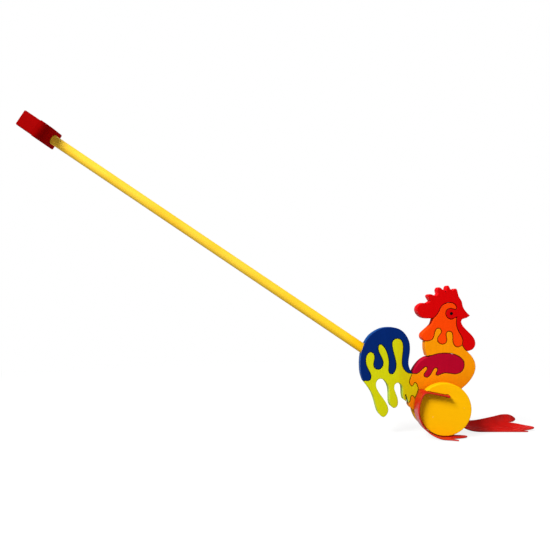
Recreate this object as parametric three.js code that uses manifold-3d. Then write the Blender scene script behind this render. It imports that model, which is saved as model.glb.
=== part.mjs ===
// A push-along rooster for a toddler: a figure sawn from one board like a jigsaw, on two wheels
// whose leather feet slap the floor, pushed by a long rod with a block handle.
// Millimetres. +X is the way it is pushed, +Z is up, and the axle lies along Y.

import * as THREE from 'three';
import { mergeVertices } from 'three/addons/utils/BufferGeometryUtils.js';
import Module from 'manifold-3d';

const { clamp, degToRad, lerp, smoothstep } = THREE.MathUtils;

const wasm = await Module();
wasm.setup();

// Sawn board
const BOARD_THICKNESS = 20;
const TEMPLATE_SQUARE = 1; // side of one square of the grid that the saw lines are drawn on
const SAW_KERF = 0.4; // gap between neighbouring pieces
const EDGE_EASE = 0.9; // sanding of every sawn edge
const EYE_DIAMETER = 4.4;

// Wheels and axle
const WHEEL_DIAMETER = 80;
const WHEEL_THICKNESS = 15;
const WHEEL_EDGE_RADIUS = 2;
const AXLE_DIAMETER = 10;
const AXLE_SEAT = 11; // depth of the axle's blind hole in each wheel
const SPACER_WIDTH = 5; // room between the board and a wheel
const SPACER_DIAMETER = 22;

// Leather feet
const LEATHER = 2.5; // thickness
const STRAP_INSET = 3.5; // how far the strap stands past the wheel's inner face
const STRAP_PROUD = 9; // how far it stands past the outer face
const STRAP_BEND = 7.5; // reach of the bend where a strap leaves its slot
const SLOT_OFFSET = 21; // from the wheel's centre to the strap's slot
const SLOT_DEPTH = 35.5; // rim to the slot's closed end, along the slot
const SLOT_TILT = 10.9; // degrees that the near wheel's slot slopes down
const BEAD_DIAMETER = 4.4; // rolled end that keeps the strap in its slot
const FOOT_LENGTH = 132; // slot mouth to the tip of the middle toe
const PALM_LENGTH = 92; // slot mouth to the notches between the toes
const PALM_FLARE = 6; // how much wider than the strap the palm is at the notches
const FLARE_LENGTH = 12; // length over which the palm widens
const TOE_ROOTS = [0, 0.15, 0.79, 1]; // edges of the toes at the notches, as shares of the width
const TOE_TIPS = [0.04, 0.46, 1.21]; // middles of the toes' tips, as shares of the width
const TOE_REACH = [0.62, 1, 0.5]; // lengths of the toes, as shares of the middle one's
const TOE_FULLNESS = 2.3; // power of a toe's rounding: a higher one is blunter
const TOE_END = 0.06; // width left at a toe's tip, as a share of the width at its root
const NEAR_TOE_CURL = [0, 1, 0.5]; // rise of each toe's tip, the inner toe first

// The far foot's inner side lies on the floor and its outer side stands up.
const FAR_LANDING = 2.8; // the far strap lands this many times its drop ahead of its slot
const FAR_LANDING_EASE = 2.1; // reach of the bend where it lands, as a share of the drop
const FAR_FOOT_HOLD = 0.8; // share of the slot's height that the outer side keeps
const FAR_FOOT_LIFT = 9.2; // how much higher it is at the notches
const LIFT_START = 30; // slot mouth to where that rise begins
const TOE_DROOP = 0.65; // share of the height that is lost at the middle toe's tip
const FAR_TOE_CURL = [0, 3, 0.5]; // rise of each toe's tip, on top of the lean
const LEAN_AT_SLOT = 1.2; // power of the rise from the inner to the outer side, at the slot
const LEAN_AT_NOTCHES = 3.6; // and at the notches

// Push rod and handle
const ROD_DIAMETER = 15;
const ROD_TILT = 34; // degrees
const ROD_FREE_LENGTH = 576.5; // tail to handle
const ROD_IN_TAIL = 25;
const ROD_IN_HANDLE = 28;
const HANDLE_WIDTH = 62;
const HANDLE_THICKNESS = 27.5;
const HANDLE_CORNER_RADIUS = 17; // of the nose, the part round the rod
const HANDLE_NOSE_LAND = 1; // straight length of the nose behind its corners
const HANDLE_GRIP_LENGTH = 28; // straight part behind the nose
const HANDLE_STEP = 0.9; // the grip is this much slimmer than the nose on every side
const HANDLE_EASE = 1.2;

// Fits and fineness
const FIT_GAP = 0.3; // between touching pieces
const CUT_PAST = 1; // how far a cutter runs past the face it starts from
const CORNER_ROOM = 1.2; // clear length beside a corner, as a share of what an inset takes from it
const WELD = 1e-4; // points closer than this are one point
const PROBE = 0.5; // half the length over which the leather's slope is taken
const ROUND_SEGMENTS = 64;
const SMALL_ROUND_SEGMENTS = 32;
const BEAD_SEGMENTS = 16;
const CURVE_STEPS = 2; // straight steps between two points of a saw line
const WHEEL_EDGE_STEPS = 1; // steps of an eighth of a turn
const HANDLE_CORNER_STEPS = 5;
const PALM_STEPS = 24;
const TOE_STEPS = 10;
const TOE_STRIPS = [1, 3, 2]; // strips side by side in each toe

const WHEEL_RADIUS = WHEEL_DIAMETER / 2;
const WHEEL_INNER_FACE = BOARD_THICKNESS / 2 + SPACER_WIDTH;
const WHEEL_OUTER_FACE = WHEEL_INNER_FACE + WHEEL_THICKNESS;
const FLOOR_DROP = WHEEL_RADIUS + FIT_GAP + LEATHER; // the axle's height above the floor

// Where saw lines meet, on the template's grid, counted from the axle
const NAPE = [-12, 137];
const CHIN = [40, 86];
const THROAT = [32, 96];
const SHOULDER = [-24.8, 101.6];
const NECK_END = [-22.3, 78.6];
const WING_TOP = [-13.5, 80];
const RUMP = [-44.5, 52];
const TAIL_BACK = [-120, 40.2];
const TAIL_FOOT = [-49.5, 6.5];
const EYE = [15, 144];
const ROD_ENTRY = [-121.1, 90.9];

// A saw line is a list of smooth runs, with a corner where one run meets the next.
const COMB_EDGE = [
  [NAPE, [-25, 136.2], [-33, 140], [-38, 148], [-36.3, 155.5], [-28.5, 160.5], [-22, 160],
    [-16.8, 163.4]],
  [[-16.8, 163.4], [-19.8, 168.2], [-20.8, 171.5], [-17.5, 174], [-13.5, 173], [-8.5, 171.3],
    [-5, 174.2]],
  [[-5, 174.2], [-6.2, 180.5], [-3.3, 184.6], [1.8, 181], [7, 176.8]],
  [[7, 176.8], [8.1, 184], [10.4, 187.3], [13, 183.3], [15.7, 179]],
  [[15.7, 179], [22.1, 182.6], [24.6, 179], [26.4, 170.9], [31.5, 162.5], [33, 155], [37, 148],
    [44, 140.8]],
  [[44, 140.8], [38.5, 137], [32, 135], [30.5, 131], [33.5, 124.5], [40, 117.5], [47, 110.5],
    [51.5, 103], [52, 95], [47.5, 88.5], CHIN],
];
const WATTLE_SEAM = [[CHIN, [36, 89], THROAT]];
const FACE_SEAM = [
  [THROAT, [33, 102.5], [30.5, 109.5], [26, 117.5], [23.5, 124.5], [23, 131], [23.7, 138.3]],
  [[23.7, 138.3], [19.5, 136.5], [15, 135], [9.5, 137.5], [6.5, 143.5], [8.5, 149.5], [14.5, 152],
    [20.5, 150.2], [23.7, 152], [21.5, 157], [17.5, 160], [11.5, 160.7], [4.5, 158.5],
    [-0.5, 154.5], [-3.5, 147.5], [-7, 142], NAPE],
];
const HACKLE_EDGE = [
  [NAPE, [-14.5, 128], [-19.5, 122.6], [-25.5, 117.2], [-30, 112.3], [-30.2, 106.5], [-27.5, 103],
    SHOULDER],
];
const HACKLE_SEAM = [
  [SHOULDER, [-20, 101.8], [-14.5, 104], [-11.5, 109], [-10, 115.5], [-8, 120], [-4.5, 121.5],
    [-0.7, 119.3], [0, 115], [-3, 110.5], [-5.7, 106], [-5.5, 101.5], [-2.5, 98], [2, 96.8],
    [6.5, 98.5], [8.5, 103], [7.5, 109], [7.2, 113], [9.5, 116.2], [12.5, 116.6], [16, 115],
    [17.5, 110.5], [17.5, 104], [18.2, 98.5], [21, 94], [25, 92.3], [29, 93.6], THROAT],
];
const NECK_EDGE = [[SHOULDER, [-25.2, 95], [-24.7, 88], NECK_END], [NECK_END, WING_TOP]];
const WING_EDGE = [[RUMP, [-42, 58], [-37, 65.5], [-31, 72], [-24.5, 76.2], WING_TOP]];
const WING_SEAM = [
  [WING_TOP, [-5, 82.5], [5, 83.2], [15, 82.5], [24, 79.7], [30.5, 75.5], [34.5, 70], [35, 64],
    [33, 57.5], [29, 53.5], [23, 51.3], [16, 51.7], [9, 52.8], [3, 52.5], [-2, 50.5], [-5.5, 49],
    [-8.3, 50.3], [-8, 53], [-6, 56.5], [-6.2, 59.8], [-9, 60.7], [-12, 58.7], [-14.5, 54],
    [-17, 50], [-20, 47], [-23.5, 46], [-26.5, 48], [-26.5, 51.3], [-23.5, 55.5], [-21.5, 59],
    [-22.5, 62], [-25, 62.2], [-29, 58.8], [-33.5, 54.5], [-38, 51.7], RUMP],
];
const TAIL_EDGE = [
  [TAIL_BACK, [-123.3, 50], [-124.5, 62], [-124.2, 75], [-122, 87.5], [-117.5, 99], [-110, 110],
    [-100, 117.5], [-90, 121.8], [-79, 123], [-69, 122], [-60.5, 118], [-54, 111], [-49.5, 102],
    [-48, 93], [-48.3, 84], [-49.8, 74.5], [-50.3, 66.5], [-48.5, 59.5], RUMP],
];
const TAIL_SEAM = [
  [RUMP, [-51.5, 53], [-56.5, 57.5], [-59.8, 64], [-60.3, 72], [-59.3, 82], [-58.5, 92],
    [-59.5, 99.5], [-63, 104.3], [-67.5, 105.5], [-72, 104.5], [-75, 101], [-75.3, 95],
    [-73.8, 86], [-71.3, 76.5], [-69.5, 68], [-69.7, 60.5], [-72, 54], [-75.5, 51.2], [-79, 52],
    [-81, 57], [-80.5, 64], [-80.5, 72], [-82, 80], [-85, 88], [-89.5, 94.5], [-93.5, 96.8],
    [-96.5, 94.5], [-96.8, 88.5], [-94, 81], [-90.3, 73.5], [-89, 67], [-91.5, 61],
    [-95.5, 58.2], [-100, 58.7], [-103.5, 62.5], [-103.8, 68], [-102.5, 74], [-102.5, 79.5],
    [-105, 83.5], [-109, 85], [-113, 82], [-115.5, 77], [-116, 70], [-114, 62], [-110, 54],
    [-107.7, 48], [-108.8, 43], [-112, 40.7], [-116.5, 41], TAIL_BACK],
];
const FEATHER_EDGE = [
  [TAIL_BACK, [-114.5, 33.4], [-106.8, 21.9], [-102.2, 9.3], [-98.8, -3.5], [-95.3, -11],
    [-88.8, -15.4], [-83.2, -10.5], [-81.1, -3.3], [-84.9, 7.6], [-94.2, 20.8], [-99.4, 30.1],
    [-99.9, 37.5], [-97.5, 41.9], [-93.4, 43.7], [-88.8, 42.1], [-82.7, 35], [-80, 25.7],
    [-79.7, 13.6], [-78.6, 3.8], [-73.4, -1.4], [-68, 1.2], [-66.2, 8], [-67.9, 16.9],
    [-71.8, 27.3], [-71.8, 33.5], [-68.5, 37.2], [-64.6, 36.9], [-60, 32], [-59.3, 20],
    [-57.5, 11.5], [-53.4, 8.3]],
  [[-53.4, 8.3], [-55.4, 19.3]],
  [[-55.4, 19.3], [-54.6, 19.5]],
  [[-54.6, 19.5], [-52.6, 8.1]],
  [[-52.6, 8.1], TAIL_FOOT],
];
const TAIL_SOCKET = [
  [RUMP, [-47.5, 45.5], [-49, 39.5], [-48, 35], [-45, 32.5], [-43, 34.5], [-40.8, 38],
    [-38.3, 36.8], [-36.8, 33], [-35.3, 27.5], [-37.5, 21.5], [-40.5, 14]],
  [[-40.5, 14], [-42.5, 17], [-44.5, 18], [-46.5, 17], [-47.4, 12], TAIL_FOOT],
];
const BREAST_EDGE = [
  [TAIL_FOOT, [-50, 3.5], [-47.5, -1], [-43.5, -3.5], [-35, -5], [-22, -10], [-8, -15.5],
    [5, -15], [15, -8], [19, 4], [22.5, 17], [30, 27.5], [37, 33.5], [43.5, 40.5], [48.5, 48],
    [51.7, 56], [52.5, 63.5], [51, 71], [46.5, 79], CHIN],
];

function paint(color, roughness) {
  return new THREE.MeshStandardMaterial({ color, roughness, metalness: 0 });
}

const PAINTS = {
  scarlet: paint(0xd20005, 0.45),
  flame: paint(0xf24000, 0.45),
  orange: paint(0xf69100, 0.45),
  crimson: paint(0xb20529, 0.45),
  navy: paint(0x00276e, 0.45),
  lime: paint(0xd8d01a, 0.45),
  yellow: paint(0xfeb402, 0.5),
  straw: paint(0xfed64b, 0.4),
  handleRed: paint(0xb10000, 0.4),
  black: paint(0x050505, 0.4),
  bareWood: paint(0xd8b684, 0.7),
  leather: paint(0xb90e0a, 0.5),
};

// Solids

function signedVolume(geometry) {
  const points = geometry.attributes.position;
  const corners = [0, 1, 2].map(() => new THREE.Vector3());
  let volume = 0;
  for (let i = 0; i < geometry.index.count; i += 3) {
    corners.forEach((corner, k) => corner.fromBufferAttribute(points, geometry.index.getX(i + k)));
    volume += corners[0].dot(corners[1].cross(corners[2])) / 6;
  }
  return volume;
}

// Merges shared vertices and turns the faces outwards.
function closed(geometry) {
  const bare = geometry.clone();
  bare.deleteAttribute('normal');
  bare.deleteAttribute('uv');
  const merged = mergeVertices(bare, WELD);
  const corners = Array.from(merged.index.array);
  const triangles = [];
  for (let i = 0; i < corners.length; i += 3) {
    const [a, b, c] = corners.slice(i, i + 3);
    if (a !== b && b !== c && c !== a) triangles.push(a, b, c);
  }
  merged.setIndex(triangles);
  if (signedVolume(merged) < 0) merged.setIndex(triangles.reverse());
  return merged;
}

function solidOf(geometry) {
  const { attributes, index } = closed(geometry);
  const mesh = new wasm.Mesh({
    numProp: 3,
    vertProperties: Float32Array.from(attributes.position.array),
    triVerts: Uint32Array.from(index.array),
  });
  return new wasm.Manifold(mesh);
}

function geometryOf(solid) {
  const { vertProperties, triVerts } = solid.getMesh();
  const geometry = new THREE.BufferGeometry();
  geometry.setAttribute('position', new THREE.BufferAttribute(vertProperties, 3));
  geometry.setIndex(new THREE.BufferAttribute(triVerts, 1));
  return geometry;
}

function cut(geometry, ...cutters) {
  const solids = cutters.map(solidOf);
  return geometryOf(solids.reduce((rest, solid) => rest.subtract(solid), solidOf(geometry)));
}

function join(...geometries) {
  return geometryOf(geometries.map(solidOf).reduce((whole, solid) => whole.add(solid)));
}

function named(name, geometry, material) {
  const mesh = new THREE.Mesh(closed(geometry), material);
  mesh.name = name;
  return mesh;
}

// A round bar along Y
function roundBar(diameter, from, to, segments = SMALL_ROUND_SEGMENTS) {
  const bar = new THREE.CylinderGeometry(diameter / 2, diameter / 2, to - from, segments);
  return bar.translate(0, (from + to) / 2, 0);
}

// Rows of equal length joined into a closed tube, with a cap on the first and last row
function loft(rows, capTriangles) {
  const count = rows[0].length;
  const geometry = new THREE.BufferGeometry().setFromPoints(rows.flat());
  const triangles = [];
  for (let row = 0; row + 1 < rows.length; row++) {
    for (let i = 0; i < count; i++) {
      const a = row * count + i;
      const b = row * count + ((i + 1) % count);
      triangles.push(a, a + count, b, b, a + count, b + count);
    }
  }
  const last = (rows.length - 1) * count;
  for (const [a, b, c] of capTriangles) {
    triangles.push(a, b, c, last + a, last + c, last + b);
  }
  return geometry.setIndex(triangles);
}

// Flat outlines

function smoothRun(points) {
  const knots = points.map(([x, z]) => new THREE.Vector3(x, 0, z).multiplyScalar(TEMPLATE_SQUARE));
  if (knots.length === 2) return knots;
  const curve = new THREE.CatmullRomCurve3(knots, false, 'centripetal');
  return curve.getPoints((knots.length - 1) * CURVE_STEPS);
}

const along = (sawLine) => sawLine.flatMap(smoothRun);
const against = (sawLine) => along(sawLine).reverse();

// Joins lines into one loop that runs counter-clockwise, seen from the front.
function loopOf(...lines) {
  const points = lines.flat().map(({ x, z }) => new THREE.Vector2(x, z));
  const following = (i) => points[(i + 1) % points.length];
  const loop = points.filter((point, i) => point.distanceTo(following(i)) > WELD);
  return THREE.ShapeUtils.isClockWise(loop) ? loop.reverse() : loop;
}

function neighbours(loop, i) {
  return [loop[(i + loop.length - 1) % loop.length], loop[(i + 1) % loop.length]];
}

// Left turn at a point of the loop, in radians
function turnAt(loop, i) {
  const [before, after] = neighbours(loop, i);
  const arriving = loop[i].clone().sub(before);
  const leaving = after.clone().sub(loop[i]);
  return Math.atan2(arriving.cross(leaving), arriving.dot(leaving));
}

// Thins the points next to outward corners, so that the loop can be drawn in by a distance.
function clearCorners(loop, distance) {
  const sharpTurn = Math.PI / 4;
  const turns = loop.map((point, i) => ({ point, turn: turnAt(loop, i) }));
  const corners = turns.filter(({ turn }) => turn > sharpTurn);
  return loop.filter((point) => corners.every((corner) => {
    const room = CORNER_ROOM * distance * Math.tan(corner.turn / 2);
    return point === corner.point || point.distanceTo(corner.point) > room;
  }));
}

function drawnIn(loop, distance) {
  return loop.map((point, i) => {
    const [before, after] = neighbours(loop, i);
    const inwards = [point.clone().sub(before), after.clone().sub(point)].map((edge) => {
      edge.normalize();
      return new THREE.Vector2(-edge.y, edge.x);
    });
    const mitre = inwards[0].clone().add(inwards[1]);
    return mitre.multiplyScalar(distance / (1 + inwards[0].dot(inwards[1]))).add(point);
  });
}

// A plate of an outline in XZ, centred on Y = 0, with eased edges; margin draws its walls in.
function plate(outline, thickness, ease, margin) {
  const loop = clearCorners(outline, ease + margin);
  const levels = [
    [-thickness / 2, margin + ease],
    [-thickness / 2 + ease, margin],
    [thickness / 2 - ease, margin],
    [thickness / 2, margin + ease],
  ];
  const ring = ([y, inset]) => drawnIn(loop, inset).map((p) => new THREE.Vector3(p.x, y, p.y));
  const cap = THREE.ShapeUtils.triangulateShape(drawnIn(loop, margin + ease), []);
  return loft(levels.map(ring), cap);
}

function sawnPiece(...lines) {
  return plate(loopOf(...lines), BOARD_THICKNESS, EDGE_EASE, SAW_KERF / 2);
}

// The rooster's board

function rodPlacement() {
  const [x, z] = ROD_ENTRY.map((value) => value * TEMPLATE_SQUARE);
  const turn = new THREE.Matrix4().makeRotationY(degToRad(ROD_TILT));
  return new THREE.Matrix4().makeTranslation(x, 0, z).multiply(turn);
}

// A bar along the rod's axis, from and to counted from the tail's edge towards the tail
function barAlongRod(diameter, from, to) {
  const bar = roundBar(diameter, from, to, ROUND_SEGMENTS).rotateZ(-Math.PI / 2);
  return bar.applyMatrix4(rodPlacement());
}

function makeBoard() {
  const across = BOARD_THICKNESS / 2 + CUT_PAST;
  const eyeHole = roundBar(EYE_DIAMETER + 2 * FIT_GAP, -across, across);
  eyeHole.translate(EYE[0] * TEMPLATE_SQUARE, 0, EYE[1] * TEMPLATE_SQUARE);
  const eyePeg = roundBar(EYE_DIAMETER, -BOARD_THICKNESS / 2, BOARD_THICKNESS / 2);
  eyePeg.translate(EYE[0] * TEMPLATE_SQUARE, 0, EYE[1] * TEMPLATE_SQUARE);
  const axleHole = roundBar(AXLE_DIAMETER + 2 * FIT_GAP, -across, across);
  const rodHole = barAlongRod(ROD_DIAMETER + 2 * FIT_GAP, -ROD_DIAMETER, ROD_IN_TAIL + FIT_GAP);

  const comb = cut(sawnPiece(along(COMB_EDGE), along(WATTLE_SEAM), along(FACE_SEAM)), eyeHole);
  const hackle = sawnPiece(along(HACKLE_EDGE), along(HACKLE_SEAM), along(FACE_SEAM));
  const wing = sawnPiece(along(WING_EDGE), along(WING_SEAM));
  const body = cut(
    sawnPiece(along(HACKLE_SEAM), against(WATTLE_SEAM), against(BREAST_EDGE), against(TAIL_SOCKET),
      against(WING_SEAM), against(NECK_EDGE)),
    axleHole,
  );
  const upperTail = cut(sawnPiece(along(TAIL_EDGE), along(TAIL_SEAM)), rodHole);
  const lowerTail = cut(
    sawnPiece(along(FEATHER_EDGE), against(TAIL_SOCKET), along(TAIL_SEAM)),
    rodHole,
  );

  return [
    named('comb_face', comb, PAINTS.scarlet),
    named('hackle', hackle, PAINTS.flame),
    named('body_panel', body, PAINTS.orange),
    named('wing_panel', wing, PAINTS.crimson),
    named('tail_upper', upperTail, PAINTS.navy),
    named('tail_lower', lowerTail, PAINTS.lime),
    named('eye_peg', eyePeg, PAINTS.black),
  ];
}

// Push rod and handle

function makeHandle() {
  const half = HANDLE_WIDTH / 2;
  const front = -ROD_FREE_LENGTH;
  const corner = front - HANDLE_CORNER_RADIUS; // where the nose's rounding starts
  const seam = corner - HANDLE_NOSE_LAND;
  const back = seam - HANDLE_GRIP_LENGTH;
  const lap = HANDLE_NOSE_LAND + HANDLE_STEP; // the grip's core runs on inside the nose
  const nose = new THREE.Shape();
  nose.moveTo(seam, -half);
  nose.lineTo(corner, -half);
  nose.absarc(corner, HANDLE_CORNER_RADIUS - half, HANDLE_CORNER_RADIUS, -Math.PI / 2, 0);
  nose.absarc(corner, half - HANDLE_CORNER_RADIUS, HANDLE_CORNER_RADIUS, 0, Math.PI / 2);
  nose.lineTo(seam, half);
  const grip = new THREE.Shape();
  const gripHalf = half - HANDLE_STEP;
  grip.moveTo(back, -gripHalf);
  grip.lineTo(seam + lap, -gripHalf);
  grip.lineTo(seam + lap, gripHalf);
  grip.lineTo(back, gripHalf);
  const block = (shape, thickness) => {
    const points = shape.getPoints(HANDLE_CORNER_STEPS);
    const outline = loopOf(points.map(({ x, y }) => ({ x, z: y })));
    return plate(outline, thickness, HANDLE_EASE, 0).rotateX(Math.PI / 2);
  };
  const noseBlock = block(nose, HANDLE_THICKNESS);
  const gripBlock = block(grip, HANDLE_THICKNESS - 2 * HANDLE_STEP);
  const socketEnd = front - ROD_IN_HANDLE - FIT_GAP;
  const socket = barAlongRod(ROD_DIAMETER + 2 * FIT_GAP, socketEnd, front + CUT_PAST);
  return cut(join(noseBlock, gripBlock).applyMatrix4(rodPlacement()), socket);
}

function makePushRod() {
  const rod = barAlongRod(ROD_DIAMETER, -ROD_FREE_LENGTH - ROD_IN_HANDLE, ROD_IN_TAIL);
  return [
    named('push_rod', rod, PAINTS.straw),
    named('handle_grip', makeHandle(), PAINTS.handleRed),
  ];
}

// Wheels

// The slot lies along X in the wheel's own frame, above the centre, and opens at the left.
const slotMouth = -Math.sqrt(WHEEL_RADIUS ** 2 - SLOT_OFFSET ** 2);
const slotEnd = slotMouth + SLOT_DEPTH;

// A wheel on the +Y side, before it is turned
function makeWheel() {
  const profile = new THREE.Path();
  const edge = WHEEL_EDGE_RADIUS;
  const hole = AXLE_DIAMETER / 2 + FIT_GAP;
  profile.moveTo(0, WHEEL_INNER_FACE + AXLE_SEAT + FIT_GAP);
  profile.lineTo(hole, WHEEL_INNER_FACE + AXLE_SEAT + FIT_GAP);
  profile.lineTo(hole, WHEEL_INNER_FACE);
  profile.lineTo(WHEEL_RADIUS - edge, WHEEL_INNER_FACE);
  profile.absarc(WHEEL_RADIUS - edge, WHEEL_INNER_FACE + edge, edge, -Math.PI / 2, 0);
  profile.lineTo(WHEEL_RADIUS, WHEEL_OUTER_FACE - edge);
  profile.absarc(WHEEL_RADIUS - edge, WHEEL_OUTER_FACE - edge, edge, 0, Math.PI / 2);
  profile.lineTo(0, WHEEL_OUTER_FACE);
  const disc = new THREE.LatheGeometry(profile.getPoints(WHEEL_EDGE_STEPS), ROUND_SEGMENTS);
  const slotLength = SLOT_DEPTH + WHEEL_RADIUS;
  const middle = (WHEEL_INNER_FACE + WHEEL_OUTER_FACE) / 2;
  const slot = new THREE.BoxGeometry(slotLength, 2 * WHEEL_THICKNESS, LEATHER + 2 * FIT_GAP);
  slot.translate(slotEnd - slotLength / 2, middle, SLOT_OFFSET);
  const keyholeDiameter = BEAD_DIAMETER + 2 * FIT_GAP;
  const keyhole = roundBar(keyholeDiameter, middle - WHEEL_THICKNESS, middle + WHEEL_THICKNESS);
  keyhole.translate(slotEnd - BEAD_DIAMETER / 2, 0, SLOT_OFFSET);
  return cut(disc, join(slot, keyhole));
}

// Leather feet

const strapInner = WHEEL_INNER_FACE - STRAP_INSET;
const strapOuter = WHEEL_OUTER_FACE + STRAP_PROUD;
const strapRadius = WHEEL_RADIUS + FIT_GAP + LEATHER / 2; // of a strap that lies on the rim
const soleHeight = -FLOOR_DROP + LEATHER / 2; // of leather that lies on the floor
const slotRun = SLOT_DEPTH - BEAD_DIAMETER / 2; // path length inside the slot

function slotPoint(x, halfTurns) {
  const turn = -degToRad(SLOT_TILT) + halfTurns * Math.PI;
  return new THREE.Vector2(x, SLOT_OFFSET).rotateAround(new THREE.Vector2(), turn);
}

// The near strap leaves its slot, lies round the back of the rim and runs under the wheel.
function nearPath() {
  const mouthAngle = Math.asin(SLOT_OFFSET / WHEEL_RADIUS);
  const landing = Math.PI - mouthAngle / 2 - degToRad(SLOT_TILT);
  const start = slotPoint(slotEnd - BEAD_DIAMETER / 2, 0);
  const mouth = slotPoint(slotMouth, 0);
  const bend = slotPoint(slotMouth - STRAP_BEND, 0);
  const rim = new THREE.Vector2(strapRadius, 0).rotateAround(new THREE.Vector2(), landing);
  const backwards = new THREE.Vector2(Math.sin(landing), -Math.cos(landing));
  const rimBend = backwards.multiplyScalar(STRAP_BEND).add(rim);
  const path = new THREE.Path();
  path.moveTo(start.x, start.y);
  path.lineTo(mouth.x, mouth.y);
  path.bezierCurveTo(bend.x, bend.y, rimBend.x, rimBend.y, rim.x, rim.y);
  path.absarc(0, 0, strapRadius, landing, 1.5 * Math.PI);
  path.lineTo(FOOT_LENGTH, soleHeight);
  return path;
}

// The far strap leaves its slot at the front and drops to the floor.
function farPath() {
  const start = slotPoint(slotEnd - BEAD_DIAMETER / 2, 1);
  const mouth = slotPoint(slotMouth, 1);
  const bend = slotPoint(slotMouth - STRAP_BEND, 1);
  const drop = mouth.y - soleHeight;
  const landing = mouth.x + FAR_LANDING * drop;
  const landingBend = landing - FAR_LANDING_EASE * drop;
  const path = new THREE.Path();
  path.moveTo(start.x, start.y);
  path.lineTo(mouth.x, mouth.y);
  path.bezierCurveTo(bend.x, bend.y, landingBend, soleHeight, landing, soleHeight);
  path.lineTo(landing + FOOT_LENGTH, soleHeight);
  return path;
}

function steps(count, from, to) {
  return Array.from({ length: count + 1 }, (_, i) => lerp(from, to, i / count));
}

// Width of the foot at a distance from the slot's mouth; beyond the notches, the full width
function palmWidth(distance) {
  const flare = smoothstep(distance, PALM_LENGTH - FLARE_LENGTH, PALM_LENGTH);
  return strapOuter - strapInner + PALM_FLARE * flare;
}

const acrossFoot = (share, distance) => strapInner + share * palmWidth(distance);

// Rows of the palm where it runs into a toe; edges are counted from the board's middle.
function palmRows(toe) {
  const distances = [-slotRun, ...steps(PALM_STEPS, 0, PALM_LENGTH)];
  return distances.map((distance) => {
    const inner = acrossFoot(TOE_ROOTS[toe], distance);
    const outer = acrossFoot(TOE_ROOTS[toe + 1], distance);
    return { distance, inner, outer, splay: 0, curl: 0 };
  });
}

// Rows of a toe, from its root at the notches to a round tip: splay is how far a row lies aside
// of the root, and curl is how far it rises.
function toeRows(toe, tipCurl) {
  const inner = acrossFoot(TOE_ROOTS[toe], PALM_LENGTH);
  const outer = acrossFoot(TOE_ROOTS[toe + 1], PALM_LENGTH);
  const root = (inner + outer) / 2;
  const tip = acrossFoot(TOE_TIPS[toe], PALM_LENGTH);
  const length = TOE_REACH[toe] * (FOOT_LENGTH - PALM_LENGTH);
  return steps(TOE_STEPS, 0, Math.PI / 2).map((angle) => {
    const share = Math.sin(angle);
    const centre = lerp(root, tip, share);
    const width = Math.max(TOE_END, Math.sqrt(1 - share ** TOE_FULLNESS));
    const half = (width * (outer - inner)) / 2;
    return {
      distance: PALM_LENGTH + share * length,
      inner: centre - half,
      outer: centre + half,
      splay: centre - root,
      curl: tipCurl * share ** 2,
    };
  });
}

// Leather laid along a path, with its outer side lifted; distances run from the slot's mouth.
class Leather {
  constructor(path, hold, lift) {
    this.path = path;
    this.hold = hold;
    this.lift = lift;
    this.mouthHeight = path.getPointAt(slotRun / path.getLength()).y;
    this.corners = [];
  }

  rise(distance, edge, height) {
    const across = clamp((edge - strapInner) / palmWidth(distance), 0, 1);
    const power = lerp(LEAN_AT_SLOT, LEAN_AT_NOTCHES, clamp(distance / PALM_LENGTH, 0, 1));
    const held = this.hold * Math.max(0, this.mouthHeight - height);
    const lifted = this.lift * smoothstep(distance, LIFT_START, PALM_LENGTH);
    const alongToe = smoothstep(distance, PALM_LENGTH, FOOT_LENGTH);
    return across ** power * (held + lifted) * (1 - TOE_DROOP * alongToe);
  }

  // A point halfway through the leather; a toe leans as the palm does at its root.
  middle(distance, edge, { splay, curl }) {
    const share = clamp((distance + slotRun) / this.path.getLength(), 0, 1);
    const { x, y } = this.path.getPointAt(share);
    return new THREE.Vector3(x, edge, y + this.rise(distance, edge - splay, y) + curl);
  }

  // A point on the upper side, 1, or the lower side, -1
  point(row, edge, side) {
    const at = (along, across) => this.middle(row.distance + along, edge + across, row);
    const ahead = at(PROBE, 0).sub(at(-PROBE, 0));
    const outwards = at(0, PROBE).sub(at(0, -PROBE));
    const normal = ahead.cross(outwards).normalize();
    return at(0, 0).addScaledVector(normal, (side * LEATHER) / 2);
  }

  section(row) {
    return {
      innerTop: this.point(row, row.inner, 1),
      innerUnder: this.point(row, row.inner, -1),
      outerTop: this.point(row, row.outer, 1),
      outerUnder: this.point(row, row.outer, -1),
    };
  }

  face(a, b, c, d) {
    this.corners.push(a, b, c, a, c, d);
  }

  // The patch between two rows, with walls along the edges that are bare
  patch(from, to, bare) {
    const a = this.section(from);
    const b = this.section(to);
    this.face(a.innerTop, b.innerTop, b.outerTop, a.outerTop);
    this.face(a.innerUnder, a.outerUnder, b.outerUnder, b.innerUnder);
    if (bare.inner) this.face(a.innerUnder, b.innerUnder, b.innerTop, a.innerTop);
    if (bare.outer) this.face(a.outerTop, b.outerTop, b.outerUnder, a.outerUnder);
    if (bare.start) this.face(a.innerTop, a.outerTop, a.outerUnder, a.innerUnder);
    if (bare.end) this.face(b.innerTop, b.innerUnder, b.outerUnder, b.outerTop);
  }

  // Covers a run of rows with strips that lie side by side.
  lay(rows, strips, bare) {
    const edge = ({ inner, outer }, k) => lerp(inner, outer, k / strips);
    const strip = (row, k) => ({ ...row, inner: edge(row, k), outer: edge(row, k + 1) });
    for (let i = 0; i + 1 < rows.length; i++) {
      for (let k = 0; k < strips; k++) {
        this.patch(strip(rows[i], k), strip(rows[i + 1], k), {
          inner: bare.inner && k === 0,
          outer: bare.outer && k === strips - 1,
          start: bare.start && i === 0,
          end: bare.end && i === rows.length - 2,
        });
      }
    }
  }

  geometry() {
    return new THREE.BufferGeometry().setFromPoints(this.corners);
  }
}

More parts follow.
